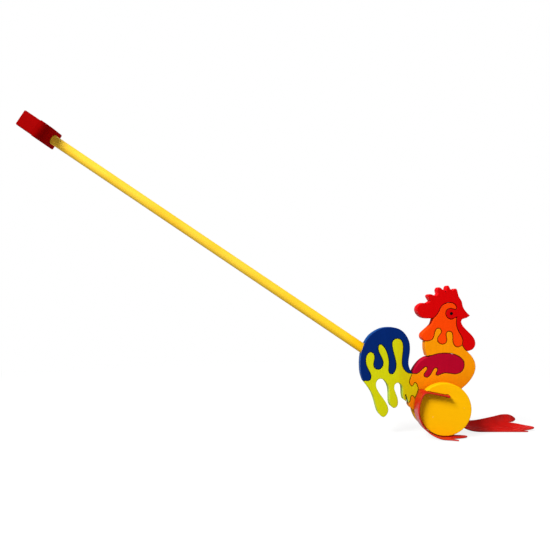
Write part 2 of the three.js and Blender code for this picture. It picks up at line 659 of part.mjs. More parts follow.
// A foot: a palm that runs on into three toes, and the bead at the strap's end
function makeFoot(path, hold, lift, toeCurl) {
  const leather = new Leather(path, hold, lift);
  TOE_STRIPS.forEach((strips, toe) => {
    const outermost = toe === TOE_STRIPS.length - 1;
    leather.lay(palmRows(toe), strips, { inner: toe === 0, outer: outermost, start: true });
    leather.lay(toeRows(toe, toeCurl[toe]), strips, { inner: true, outer: true, end: true });
  });
  const start = path.getPointAt(0);
  const bead = roundBar(BEAD_DIAMETER, strapInner + FIT_GAP, strapOuter - FIT_GAP, BEAD_SEGMENTS);
  return join(leather.geometry(), bead.translate(start.x, 0, start.y));
}

// Wheel set

function makeWheelSet() {
  const axleEnd = WHEEL_INNER_FACE + AXLE_SEAT;
  const spacerFrom = BOARD_THICKNESS / 2 + FIT_GAP;
  const spacerTo = WHEEL_INNER_FACE - FIT_GAP;
  const tilt = degToRad(SLOT_TILT);
  const spacer = cut(
    roundBar(SPACER_DIAMETER, spacerFrom, spacerTo),
    roundBar(AXLE_DIAMETER + 2 * FIT_GAP, spacerFrom - CUT_PAST, spacerTo + CUT_PAST),
  );
  const mirrored = (geometry) => geometry.clone().scale(1, -1, 1);
  const nearFoot = makeFoot(nearPath(), 0, 0, NEAR_TOE_CURL);
  const farFoot = makeFoot(farPath(), FAR_FOOT_HOLD, FAR_FOOT_LIFT, FAR_TOE_CURL);
  return [
    named('axle', roundBar(AXLE_DIAMETER, -axleEnd, axleEnd), PAINTS.bareWood),
    named('spacer_right', mirrored(spacer), PAINTS.bareWood),
    named('spacer_left', spacer, PAINTS.bareWood),
    named('wheel_right', mirrored(makeWheel()).rotateY(tilt), PAINTS.yellow),
    named('wheel_left', makeWheel().rotateY(tilt + Math.PI), PAINTS.yellow),
    named('foot_right', mirrored(nearFoot), PAINTS.leather),
    named('foot_left', farFoot, PAINTS.leather),
  ];
}

const toy = new THREE.Group();
toy.name = 'push_along_rooster';
toy.add(...makeBoard(), ...makePushRod(), ...makeWheelSet());

// The origin is on the floor under the board, halfway along the toy.
const box = new THREE.Box3().setFromObject(toy);
toy.position.set(-box.getCenter(new THREE.Vector3()).x, 0, FLOOR_DROP);

export default toy;
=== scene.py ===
import math

import bmesh
import bpy
import numpy as np
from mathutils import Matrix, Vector


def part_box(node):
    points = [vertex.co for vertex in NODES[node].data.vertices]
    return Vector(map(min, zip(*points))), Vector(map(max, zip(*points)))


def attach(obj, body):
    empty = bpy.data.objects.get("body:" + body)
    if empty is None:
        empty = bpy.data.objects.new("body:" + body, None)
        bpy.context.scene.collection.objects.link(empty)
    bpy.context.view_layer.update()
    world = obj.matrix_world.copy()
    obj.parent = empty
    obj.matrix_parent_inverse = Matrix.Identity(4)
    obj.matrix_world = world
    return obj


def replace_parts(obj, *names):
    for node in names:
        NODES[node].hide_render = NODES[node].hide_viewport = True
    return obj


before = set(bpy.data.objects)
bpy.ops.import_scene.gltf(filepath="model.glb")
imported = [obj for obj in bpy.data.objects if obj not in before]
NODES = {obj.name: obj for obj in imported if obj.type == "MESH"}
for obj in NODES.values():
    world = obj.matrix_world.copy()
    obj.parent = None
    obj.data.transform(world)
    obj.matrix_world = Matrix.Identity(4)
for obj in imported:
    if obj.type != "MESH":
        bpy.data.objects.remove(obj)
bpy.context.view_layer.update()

MM = 0.001
AXLE = sum(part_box("axle"), Vector()) / 2

# Camera
IMAGE_SIDE = 550  # pixels
SENSOR_WIDTH = 36.0
FOCAL_PIXELS = 590.5
HORIZON_BELOW_MIDDLE = 28.2  # pixels
CAMERA_FROM_AXLE = Vector((-255.3, -915.0, 159.8)) * MM

# Light: a level of 1 lights a white face that is square to the lamp up to plain white
WORLD_LEVEL = 0.07
LIT_POINT = (0.12, 0.0, 0.14)
KEY = {"towards": (-0.56, -0.50, 0.66), "distance": 5.0, "size": 1.8, "level": 1.54}
FILL = {"towards": (0.90, -0.32, 0.30), "distance": 2.4, "size": 1.6, "level": 0.28,
        "mirrored": False}
TOP = {"towards": (-0.35, 0.30, 0.88), "distance": 2.6, "size": 1.6, "level": 0.30}
BACK = {"towards": (0.45, 0.80, 0.40), "distance": 2.4, "size": 1.6, "level": 0.45,
        "mirrored": False}

# Floor
FLOOR_SIDE = 12.0
FLOOR_BELOW = 0.3 * MM
FLOOR_SEEN = (0.9, 0.9, 0.9, 1)  # colour to the camera
FLOOR_BOUNCE = (0.27, 0.27, 0.27, 1)  # colour in the light that it throws back
SHADOW_FADE = 0.85  # share of plain white near the toy
FADE_FROM = 0.45  # from here on the shadow fades
FADE_TO = 1.1  # and here it is gone
GLOSS_FROM = AXLE.x - 60 * MM  # reflections of the floor lose their white from here
GLOSS_TO = AXLE.x + 20 * MM  # to here
GLOSS_BEHIND = 0.9  # share of white in them behind the wheels
GLOSS_AHEAD = 0.15  # and ahead of them

# Leather feet: the layout of the solids
BOARD_THICKNESS = 20 * MM
WHEEL_RADIUS = 40 * MM
WHEEL_THICKNESS = 15 * MM
SPACER_WIDTH = 5 * MM
FIT_GAP = 0.3 * MM
LEATHER = 2.5 * MM
STRAP_INSET = 3.5 * MM  # how far the strap stands past the wheel's inner face
STRAP_PROUD = 9 * MM  # and past its outer face
STRAP_BEND = 7.5 * MM  # reach of its bends at the slot's mouth and on the rim
SLOT_OFFSET = 21 * MM  # from the wheel's centre
SLOT_DEPTH = 35.5 * MM
SLOT_TILT = math.radians(10.9)
BEAD_DIAMETER = 4.4 * MM  # rolled end that keeps the strap in its slot
FOOT_LENGTH = 132 * MM  # slot mouth to the tip of the middle toe
PALM_LENGTH = 92 * MM  # slot mouth to the notches
PALM_FLARE = 6 * MM  # how much wider than the strap the palm is at the notches
TOE_ROOTS = (0, 0.15, 0.79, 1)  # edges of the toes at the notches, as shares of the width
TOE_TIPS = (0.04, 0.46, 1.21)  # middles of their tips
TOE_REACH = (0.62, 1, 0.5)  # lengths of the toes, as shares of the middle one's
TOE_END = 0.06  # width left at a tip, as a share of the root's
NEAR_TOE_CURL = (0, 1 * MM, 0.5 * MM)  # rise of each toe's tip, the inner toe first
FAR_LANDING = 2.8  # the far strap lands this many times its drop ahead of its slot
FAR_LANDING_EASE = 2.1  # reach of the bend where it lands, in times the drop
FAR_HOLD = 0.8  # share of the slot's height that the far foot's outer side keeps
FAR_LIFT = 9.2 * MM  # how much higher that side is at the notches
LIFT_START = 30 * MM  # slot mouth to where that rise begins
TOE_DROOP = 0.65  # share of the height that is lost at the middle toe's tip
LEAN_AT_SLOT = 1.2  # power of the rise from the inner to the outer side, at the slot
LEAN_AT_NOTCHES = 3.6  # and at the notches

# Leather feet: how worn leather differs from the solids
WORN_LEATHER = 2.1 * MM
FLARE_LENGTH = 24 * MM  # length over which the palm widens
TOE_FULLNESS = 2.8  # power of a toe's rounding: a higher one is blunter
TOE_BEND = 2.0  # power by which a toe turns aside towards its tip
TOE_CURL_POWER = 1.3  # and by which it rises
FAR_TOE_CURL = (0, 2.8 * MM, 2.5 * MM)
NEAR_EASE = 16 * MM  # the near strap's bend is averaged this far to either side
EASE_FROM = 24 * MM  # as far as here from the slot, where it is free of the wheel
EASE_TO = 40 * MM  # and not at all from here on

NEAR_FOOT = {"hold": 0.0, "lift": 0.0, "ease": NEAR_EASE, "toe_curl": NEAR_TOE_CURL}
FAR_FOOT = {"hold": FAR_HOLD, "lift": FAR_LIFT, "ease": 0.0, "toe_curl": FAR_TOE_CURL}


def linear(red, green, blue):
    """An sRGB colour of 0 to 255 as linear RGBA."""
    def one(value):
        share = value / 255
        return share / 12.92 if share <= 0.04045 else ((share + 0.055) / 1.055) ** 2.4
    return (one(red), one(green), one(blue), 1.0)


def shade(colour, factor):
    return tuple(min(1.0, value * factor) for value in colour[:3]) + (1.0,)


# Materials

# Numbers of sockets: of a Mix node that blends colours, and of a Mix Shader node
FACTOR, FIRST_COLOUR, SECOND_COLOUR, MIXED_COLOUR = 0, 6, 7, 2
FIRST_SHADER, SECOND_SHADER = 1, 2


class Graph:
    """A material's node tree, with short ways to add and join nodes."""

    def __init__(self, name):
        self.material = bpy.data.materials.new(name)
        self.material.use_nodes = True
        self.tree = self.material.node_tree
        self.tree.nodes.clear()
        self.surface = self.add("ShaderNodeBsdfPrincipled")
        self.output = self.add("ShaderNodeOutputMaterial").inputs["Surface"]
        self.join(self.surface.outputs["BSDF"], self.output)

    def add(self, kind, **settings):
        node = self.tree.nodes.new(kind)
        for key, value in settings.items():
            setattr(node, key, value)
        return node

    def join(self, source, target):
        self.tree.links.new(source, target)

    def put(self, target, value):
        """Joins a socket, or sets a plain value."""
        if isinstance(value, bpy.types.NodeSocket):
            self.join(value, target)
        else:
            target.default_value = value

    def place(self, turn=(0, 0, 0), stretch=(1, 1, 1)):
        """The piece's own coordinates, turned and then scaled."""
        source = self.add("ShaderNodeTexCoord").outputs["Object"]
        turned = self.add("ShaderNodeMapping", vector_type="POINT")
        turned.inputs["Rotation"].default_value = turn
        self.join(source, turned.inputs["Vector"])
        scaled = self.add("ShaderNodeMapping", vector_type="POINT")
        scaled.inputs["Scale"].default_value = stretch
        self.join(turned.outputs["Vector"], scaled.inputs["Vector"])
        return scaled.outputs["Vector"]

    def along(self, axis):
        parts = self.add("ShaderNodeSeparateXYZ")
        self.join(self.add("ShaderNodeTexCoord").outputs["Object"], parts.inputs[0])
        return parts.outputs[axis]

    def noise(self, place, scale=1.0, detail=3.0, roughness=0.55):
        node = self.add("ShaderNodeTexNoise")
        self.join(place, node.inputs["Vector"])
        node.inputs["Scale"].default_value = scale
        node.inputs["Detail"].default_value = detail
        node.inputs["Roughness"].default_value = roughness
        return node.outputs["Fac"]

    def cells(self, place, scale):
        node = self.add("ShaderNodeTexVoronoi")
        self.join(place, node.inputs["Vector"])
        node.inputs["Scale"].default_value = scale
        return node.outputs["Distance"]

    def ramp(self, value, low, high, to_low=0.0, to_high=1.0):
        node = self.add("ShaderNodeMapRange", interpolation_type="SMOOTHSTEP")
        self.join(value, node.inputs["Value"])
        node.inputs["From Min"].default_value = low
        node.inputs["From Max"].default_value = high
        node.inputs["To Min"].default_value = to_low
        node.inputs["To Max"].default_value = to_high
        return node.outputs["Result"]

    def maths(self, operation, first, second=0.0):
        node = self.add("ShaderNodeMath", operation=operation)
        self.put(node.inputs[0], first)
        self.put(node.inputs[1], second)
        return node.outputs["Value"]

    def blend(self, factor, first, second):
        node = self.add("ShaderNodeMix", data_type="RGBA")
        self.put(node.inputs[FACTOR], factor)
        self.put(node.inputs[FIRST_COLOUR], first)
        self.put(node.inputs[SECOND_COLOUR], second)
        return node.outputs[MIXED_COLOUR]

    def facing(self, axis):
        """How squarely the surface faces along an axis of the scene: 0 is edge on, 1 is square."""
        parts = self.add("ShaderNodeSeparateXYZ")
        geometry = self.add("ShaderNodeNewGeometry")
        self.join(geometry.outputs["True Normal"], parts.inputs[0])
        return self.maths("ABSOLUTE", parts.outputs[axis])

    def openness(self, reach, samples):
        """1 on a free surface, less in a seam or a corner."""
        node = self.add("ShaderNodeAmbientOcclusion", samples=samples)
        node.inputs["Distance"].default_value = reach
        return node.outputs["AO"]

    def bump(self, height, strength, distance):
        node = self.add("ShaderNodeBump")
        node.inputs["Strength"].default_value = strength
        node.inputs["Distance"].default_value = distance
        self.join(height, node.inputs["Height"])
        self.join(node.outputs["Normal"], self.surface.inputs["Normal"])

    def whiten(self, share):
        """Shows plain white in place of a share of the surface."""
        mixed = self.add("ShaderNodeMixShader")
        self.join(share, mixed.inputs["Fac"])
        white = self.add("ShaderNodeEmission")
        self.join(self.surface.outputs["BSDF"], mixed.inputs[FIRST_SHADER])
        self.join(white.outputs["Emission"], mixed.inputs[SECOND_SHADER])
        self.join(mixed.outputs["Shader"], self.output)

    def finish(self, colour, roughness, sheen):
        self.put(self.surface.inputs["Base Color"], colour)
        self.put(self.surface.inputs["Roughness"], roughness)
        self.surface.inputs["Specular IOR Level"].default_value = sheen
        return self.material


# Looks are layers over a colour. A tone is a factor on that colour, a share is how much a layer
# hides of what lies under it, a span is the part of a pattern over which a layer changes, and a
# bump is a strength and a depth. A stretch has two numbers across the grain and one along it.
NOISE_SPAN = (0.3, 0.7)
WIDE_SPAN = (0.25, 0.75)

STREAK_STRETCH = (900, 900, 26)
STREAK_LIGHTER = 0.07
STREAK_DARKER = 0.10
BAND_STRETCH = (95, 95, 9)
BAND_SPAN = (0.35, 0.65)
BAND_DARKER = 0.12
BAND_SHARE = 0.5
PORE_STRETCH = (2600, 2600, 190)
PORE_SPAN = (0.60, 0.72)
PORE_TONE = 0.62
PORE_SHARE = 0.35
PORE_DEPTH = 0.8  # in the bump, as a share of the streaks' height
DRIFT_SHARE = 0.9
WALL_SPAN = (0.25, 0.6)  # a sawn wall up to the first, the board's face from the second
CHIP_SCALE = 230
CHIP_EDGE = 0.02
BARE_WOOD = linear(255, 206, 120)
# Painted shade in seams and corners: the colour darkens where other surfaces close in on it
SEAM_SHADE_REACH = 2.5 * MM
SEAM_SHADE_SAMPLES = 8
SEAM_SHADE_SPAN = (0.42, 0.93)  # openness: darkest up to the first, plain from the second
SEAM_SHADE_TONE = 0.14
WOOD_BUMP = (0.10, 0.25 * MM)
WOOD_ROUGHNESS = (0.49, 0.63)
WOOD_SHEEN = 0.06


def stained_wood(name, colour, turn=(0, 0, 0), depth=1.0, wall_tone_and_sheen=None, drift=None, chips=0.0,
                 sheen=WOOD_SHEEN):
    """Sawn wood under a thin stain: streaks along the grain, open pores, sawn walls of another
    tone that also holds a painted sheen, and painted shade in seams and corners. Before the turn
    the grain runs along Z. depth is the strength of the grain. drift is a second colour, and the
    axis and places between which it takes over. chips is how high the noise has to be where bare
    wood shows."""
    graph = Graph(name)
    streaks = graph.noise(graph.place(turn, STREAK_STRETCH), detail=4, roughness=0.6)
    bands = graph.noise(graph.place(turn, BAND_STRETCH), detail=2)
    pores = graph.ramp(graph.noise(graph.place(turn, PORE_STRETCH), detail=1), *PORE_SPAN)
    dark = shade(colour, 1 - STREAK_DARKER * depth)
    light = shade(colour, 1 + STREAK_LIGHTER * depth)
    tone = graph.blend(graph.ramp(streaks, *NOISE_SPAN), dark, light)
    banded = shade(colour, 1 - BAND_DARKER * depth)
    tone = graph.blend(graph.ramp(bands, *BAND_SPAN, 0, BAND_SHARE), tone, banded)
    if drift:
        second, axis, low, high = drift
        drifted = graph.ramp(graph.along(axis), low, high, 0, DRIFT_SHARE)
        tone = graph.blend(drifted, tone, second)
    porous = graph.maths("MULTIPLY", pores, PORE_SHARE * depth)
    tone = graph.blend(porous, tone, shade(colour, PORE_TONE))
    # sawn walls take their own colour: the end grain's tone of stain, with a painted sheen in it
    sawn = graph.ramp(graph.facing("Y"), *WALL_SPAN, 1, 0)
    tone = graph.blend(sawn, tone, wall_tone_and_sheen or colour)
    if chips:
        bare = graph.noise(graph.place(), CHIP_SCALE, detail=0)
        tone = graph.blend(graph.ramp(bare, chips, chips + CHIP_EDGE), tone, BARE_WOOD)
    # painted shade: darker where nearby surfaces hem this one in, as in seams and corners
    seam_shade = graph.ramp(graph.openness(SEAM_SHADE_REACH, SEAM_SHADE_SAMPLES), *SEAM_SHADE_SPAN, 1, 0)
    tone = graph.blend(seam_shade, tone, shade(colour, SEAM_SHADE_TONE))
    height = graph.maths("SUBTRACT", streaks, graph.maths("MULTIPLY", pores, PORE_DEPTH))
    graph.bump(height, *WOOD_BUMP)
    return graph.finish(tone, graph.ramp(streaks, *WIDE_SPAN, *WOOD_ROUGHNESS), sheen)


ROD_STRETCH = (700, 700, 11)
ROD_TONES = (0.97, 1.02)
MOTTLE_STRETCH = (55, 55, 17)
MOTTLE_SPAN = (0.42, 0.72)
MOTTLE_SHARE = 0.6
FLECK_STRETCH = (1500, 1500, 240)
FLECK_SPAN = (0.72, 0.82)
FLECK_SHARE = 0.4
ROD_BUMP = (0.04, 0.1 * MM)
ROD_ROUGHNESS = (0.42, 0.52)
ROD_SHEEN = 0.12


def turned_dowel(name, colour, blotch, fleck, turn, drifts):
    """A stained round bar: grain along it, blotchy stain, a few dark flecks. drifts are further
    colours, and where along X each starts and ends."""
    graph = Graph(name)
    streaks = graph.noise(graph.place(turn, ROD_STRETCH), detail=4, roughness=0.6)
    mottle = graph.noise(graph.place(turn, MOTTLE_STRETCH), detail=3)
    flecks = graph.ramp(graph.noise(graph.place(turn, FLECK_STRETCH), detail=1), *FLECK_SPAN)
    dark, light = (shade(colour, factor) for factor in ROD_TONES)
    tone = graph.blend(graph.ramp(streaks, *NOISE_SPAN), dark, light)
    tone = graph.blend(graph.ramp(mottle, *MOTTLE_SPAN, 0, MOTTLE_SHARE), tone, blotch)
    for second, start, end in drifts:
        tone = graph.blend(graph.ramp(graph.along("X"), start, end), tone, second)
    tone = graph.blend(graph.maths("MULTIPLY", flecks, FLECK_SHARE), tone, fleck)
    graph.bump(streaks, *ROD_BUMP)
    return graph.finish(tone, graph.ramp(mottle, *NOISE_SPAN, *ROD_ROUGHNESS), ROD_SHEEN)


CLOUD_SCALE = 60
CLOUD_TONES = (0.88, 1.08)
FINE_SCALE = 900
FINE_HEIGHT = 0.5  # in the bump, where the grain counts as 1
GRAIN_SCALE = 1500
GRAIN_SPAN = (0.35, 0.75)
GRAIN_TONE = 0.7
GRAIN_SHARE = 0.2
RIM_SHARE = 0.8
RIM_DULLNESS = 0.2
LEATHER_BUMP = (0.12, 0.2 * MM)
LEATHER_ROUGHNESS = (0.32, 0.40)
LEATHER_SHEEN = 0.3


def smooth_leather(name, colour, edge_colour):
    """Dyed leather: fine grain, cloudy dye, and a cut edge where the rim attribute is 1."""
    graph = Graph(name)
    place = graph.place()
    cloud = graph.noise(place, CLOUD_SCALE, detail=4, roughness=0.6)
    fine = graph.noise(place, FINE_SCALE, detail=3)
    grain = graph.cells(place, GRAIN_SCALE)
    dark, light = (shade(colour, factor) for factor in CLOUD_TONES)
    tone = graph.blend(graph.ramp(cloud, *NOISE_SPAN), dark, light)
    grained = graph.ramp(grain, *GRAIN_SPAN, 0, GRAIN_SHARE)
    tone = graph.blend(grained, tone, shade(colour, GRAIN_TONE))
    rim = graph.add("ShaderNodeAttribute", attribute_name="rim").outputs["Fac"]
    tone = graph.blend(graph.maths("MULTIPLY", rim, RIM_SHARE), tone, edge_colour)
    height = graph.maths("ADD", graph.maths("MULTIPLY", fine, FINE_HEIGHT), grain)
    graph.bump(height, *LEATHER_BUMP)
    dull = graph.maths("MULTIPLY", rim, RIM_DULLNESS)
    roughness = graph.maths("ADD", graph.ramp(cloud, *WIDE_SPAN, *LEATHER_ROUGHNESS), dull)
    return graph.finish(tone, roughness, LEATHER_SHEEN)


PAINT_SCALE = 700
PAINT_TONES = (0.7, 1.5)
PAINT_BUMP = (0.05, 0.1 * MM)
PAINT_ROUGHNESS = (0.3, 0.42)
PAINT_SHEEN = 0.08


def gloss_paint(name, colour):
    """A thick drop of gloss paint."""
    graph = Graph(name)
    uneven = graph.noise(graph.place(), PAINT_SCALE, detail=2)
    dark, light = (shade(colour, factor) for factor in PAINT_TONES)
    tone = graph.blend(uneven, dark, light)
    graph.bump(uneven, *PAINT_BUMP)
    return graph.finish(tone, graph.ramp(uneven, *NOISE_SPAN, *PAINT_ROUGHNESS), PAINT_SHEEN)


# Turns of the grain, named by how it then runs
UPRIGHT = (0, 0, 0)
LEANING = (0, math.radians(9), 0)
LEVEL = (0, math.radians(84), 0)
ALONG_ROD = (0, math.radians(56), 0)
ALONG_AXLE = (math.radians(90), 0, 0)

# Colours that take over towards one part of a piece: the body's bottom, the lime's side
# next to the body, and the rod's end at the rooster
BELLY_DRIFT = (linear(223, 121, 0), "Z", AXLE.z + 72 * MM, AXLE.z + 24 * MM)
RUMP_DRIFT = (linear(204, 185, 4), "X", AXLE.x - 74 * MM, AXLE.x - 56 * MM)
ROD_DRIFTS = [
    (linear(254, 204, 38), AXLE.x - 330 * MM, AXLE.x - 150 * MM),
    (linear(255, 193, 6), AXLE.x - 150 * MM, AXLE.x - 128 * MM),
]

# The walls' colours hold a painted sheen besides the sawn end grain's own tone
LOOKS = {
    "comb_face": stained_wood("scarlet_stain", linear(210, 0, 2), LEANING, 0.5,
                              wall_tone_and_sheen=linear(210, 12, 22)),
    "hackle": stained_wood("flame_stain", linear(248, 68, 0), UPRIGHT, 0.55),
    "body_panel": stained_wood("orange_stain", linear(246, 148, 0), UPRIGHT, 0.65,
                               wall_tone_and_sheen=linear(228, 130, 14), drift=BELLY_DRIFT),
    "wing_panel": stained_wood("crimson_stain", linear(175, 2, 38), UPRIGHT, 0.8),
    "tail_upper": stained_wood("navy_stain", linear(0, 36, 106), LEANING, 1.1,
                               wall_tone_and_sheen=linear(16, 70, 136)),
    "tail_lower": stained_wood("lime_stain", linear(207, 206, 10), LEANING, 0.5,
                               wall_tone_and_sheen=linear(186, 207, 74), drift=RUMP_DRIFT),
    "push_rod": turned_dowel("straw_stain", linear(254, 208, 58), linear(250, 192, 34),
                             linear(190, 120, 8), ALONG_ROD, ROD_DRIFTS),
    "handle_grip": stained_wood("handle_stain", linear(158, 0, 0), ALONG_ROD, 1.1, sheen=0.01),
    "eye_peg": gloss_paint("eye_black", linear(8, 7, 7)),
    "axle": stained_wood("beech_axle", linear(216, 182, 132), ALONG_AXLE),
    "spacer_right": stained_wood("beech_spacer", linear(212, 176, 126), ALONG_AXLE),
    "wheel_right": stained_wood("wheel_stain", linear(255, 186, 0), LEVEL, 0.4,
                                wall_tone_and_sheen=linear(250, 176, 2), chips=0.82),
}
LOOKS["spacer_left"] = LOOKS["spacer_right"]
LOOKS["wheel_left"] = LOOKS["wheel_right"]
LEATHER_LOOK = smooth_leather("red_hide", linear(188, 16, 11), linear(198, 30, 10))


# Softened solids

WELD_DISTANCE = 0.01 * MM
FLAT_ANGLE = math.radians(0.4)  # faces that differ by less become one
ROUNDED_ANGLE = math.radians(40)  # edges sharper than this are rounded
SHARP_ANGLE = math.radians(50)  # and those sharper than this aren't smoothed over
ROUNDING_SEGMENTS = 2
ROUNDINGS = {
    "push_rod": 0.3 * MM, "axle": 0.3 * MM, "eye_peg": 0.25 * MM,
    "spacer_right": 0.3 * MM, "spacer_left": 0.3 * MM,
    "wheel_right": 0.6 * MM, "wheel_left": 0.6 * MM,
}


def geometry_group(name):
    group = bpy.data.node_groups.new(name, "GeometryNodeTree")
    for way in ("INPUT", "OUTPUT"):
        group.interface.new_socket("Geometry", in_out=way, socket_type="NodeSocketGeometry")
    return group, group.nodes.new("NodeGroupInput"), group.nodes.new("NodeGroupOutput")


def weld_group():
    """Geometry nodes that weld a solid's triangles and drop its stored normals."""
    group, start, end = geometry_group("weld_solid")
    weld = group.nodes.new("GeometryNodeMergeByDistance")
    weld.inputs["Distance"].default_value = WELD_DISTANCE
    bare = group.nodes.new("GeometryNodeRemoveAttribute")
    bare.inputs["Name"].default_value = "custom_normal"
    group.links.new(start.outputs[0], weld.inputs["Geometry"])
    group.links.new(weld.outputs["Geometry"], bare.inputs["Geometry"])
    group.links.new(bare.outputs["Geometry"], end.inputs[0])
    return group


def shading_group(limit):
    """Geometry nodes that smooth every face, except over edges sharper than the limit."""
    group, start, end = geometry_group("smooth_shading")
    faces = group.nodes.new("GeometryNodeSetShadeSmooth")
    edges = group.nodes.new("GeometryNodeSetShadeSmooth")
    edges.domain = "EDGE"
    edges.inputs["Shade Smooth"].default_value = False
    angle = group.nodes.new("GeometryNodeInputMeshEdgeAngle")
    sharper = group.nodes.new("FunctionNodeCompare")
    sharper.operation = "GREATER_THAN"
    sharper.inputs[1].default_value = limit
    group.links.new(angle.outputs["Unsigned Angle"], sharper.inputs[0])
    group.links.new(sharper.outputs["Result"], edges.inputs["Selection"])
    group.links.new(start.outputs[0], faces.inputs["Geometry"])
    group.links.new(faces.outputs["Geometry"], edges.inputs["Geometry"])
    group.links.new(edges.outputs["Geometry"], end.inputs[0])
    return group


WELD = weld_group()
SMOOTH = shading_group(SHARP_ANGLE)


def soften(solid, rounding):
    """Smooths a solid's curves, and rounds its edges where a rounding is given."""
    solid.modifiers.new("weld", "NODES").node_group = WELD
    flat = solid.modifiers.new("flat", "DECIMATE")
    flat.decimate_type = "DISSOLVE"
    flat.angle_limit = FLAT_ANGLE
    if rounding:
        edges = solid.modifiers.new("rounding", "BEVEL")
        edges.width = rounding
        edges.segments = ROUNDING_SEGMENTS
        edges.limit_method = "ANGLE"
        edges.angle_limit = ROUNDED_ANGLE
    solid.modifiers.new("smooth", "NODES").node_group = SMOOTH
    weighted = solid.modifiers.new("weighted", "WEIGHTED_NORMAL")
    weighted.keep_sharp = True


for name, look in LOOKS.items():
    solid = NODES[name]
    solid.data.materials.clear()
    solid.data.materials.append(look)
    soften(solid, ROUNDINGS.get(name))


# Leather feet

STRAP_INNER = BOARD_THICKNESS / 2 + SPACER_WIDTH - STRAP_INSET
WHEEL_FACE = BOARD_THICKNESS / 2 + SPACER_WIDTH + WHEEL_THICKNESS
STRAP_OUTER = WHEEL_FACE + STRAP_PROUD
STRAP_RADIUS = WHEEL_RADIUS + FIT_GAP + LEATHER / 2
SOLE_HEIGHT = -(WHEEL_RADIUS + FIT_GAP + LEATHER) + LEATHER / 2
SLOT_MOUTH = -math.sqrt(WHEEL_RADIUS ** 2 - SLOT_OFFSET ** 2)
BEAD_PLACE = SLOT_MOUTH + SLOT_DEPTH - BEAD_DIAMETER / 2
SLOT_RUN = SLOT_DEPTH - BEAD_DIAMETER / 2
BAND_COLUMNS = (8, 16, 10)  # columns in each toe's part of the foot
BEAD_ROWS = 10
SLOT_ROWS = 24
PALM_ROWS = 84
TOE_ROWS = 26
CURVE_POINTS = 120
EASE_STEPS = 15
PROBE = 0.4 * MM  # half the length over which the leather's slope is taken
RIM_ROUNDING = 1.0 * MM
RIM_WALL = 0.4  # thickness left at the rim, as a share
RIM_SEEN = 0.6 * MM  # width of the cut edge's colour
LEAST_HALF = 0.05 * MM  # least half of the thickness
WHEEL_BOTTOM = 1.5 * math.pi
SAME_DIGITS = 4  # decimals of a millimetre up to which two points of the pattern are one


def turned(x, z, angle):
    c, s = math.cos(angle), math.sin(angle)
    return np.array([x * c - z * s, x * s + z * c])


def slot_point(x, half_turns):
    return turned(x, SLOT_OFFSET, half_turns * math.pi - SLOT_TILT)


def bezier(a, b, c, d):
    t = np.linspace(0, 1, CURVE_POINTS)[:, None]
    return a * (1 - t) ** 3 + 3 * b * t * (1 - t) ** 2 + 3 * c * t ** 2 * (1 - t) + d * t ** 3


def near_path():
    """Out of the slot, round the back of the rim, and along the floor under the wheel."""
    landing = math.pi - math.asin(SLOT_OFFSET / WHEEL_RADIUS) / 2 - SLOT_TILT
    rim = turned(STRAP_RADIUS, 0, landing)
    rim_bend = rim + np.array([math.sin(landing), -math.cos(landing)]) * STRAP_BEND
    bend = bezier(slot_point(SLOT_MOUTH, 0), slot_point(SLOT_MOUTH - STRAP_BEND, 0), rim_bend, rim)
    angles = np.linspace(landing, WHEEL_BOTTOM, CURVE_POINTS)
    arc = [turned(STRAP_RADIUS, 0, angle) for angle in angles[1:]]
    return np.vstack([[slot_point(BEAD_PLACE, 0)], bend, arc, [[FOOT_LENGTH, SOLE_HEIGHT]]])


def far_path():
    """Out of the slot and down to the floor ahead."""
    mouth = slot_point(SLOT_MOUTH, 1)
    drop = mouth[1] - SOLE_HEIGHT
    landing = np.array([mouth[0] + FAR_LANDING * drop, SOLE_HEIGHT])
    landing_bend = landing - [FAR_LANDING_EASE * drop, 0]
    bend = bezier(mouth, slot_point(SLOT_MOUTH - STRAP_BEND, 1), landing_bend, landing)
    return np.vstack([[slot_point(BEAD_PLACE, 1)], bend, [landing + [FOOT_LENGTH, 0]]])


def smoothstep(value, low, high):
    share = np.clip((value - low) / (high - low), 0, 1)
    return share * share * (3 - 2 * share)


def palm_width(distance):
    flare = smoothstep(distance, PALM_LENGTH - FLARE_LENGTH, PALM_LENGTH)
    return STRAP_OUTER - STRAP_INNER + PALM_FLARE * flare


def across_foot(share, distance):
    return STRAP_INNER + share * palm_width(distance)


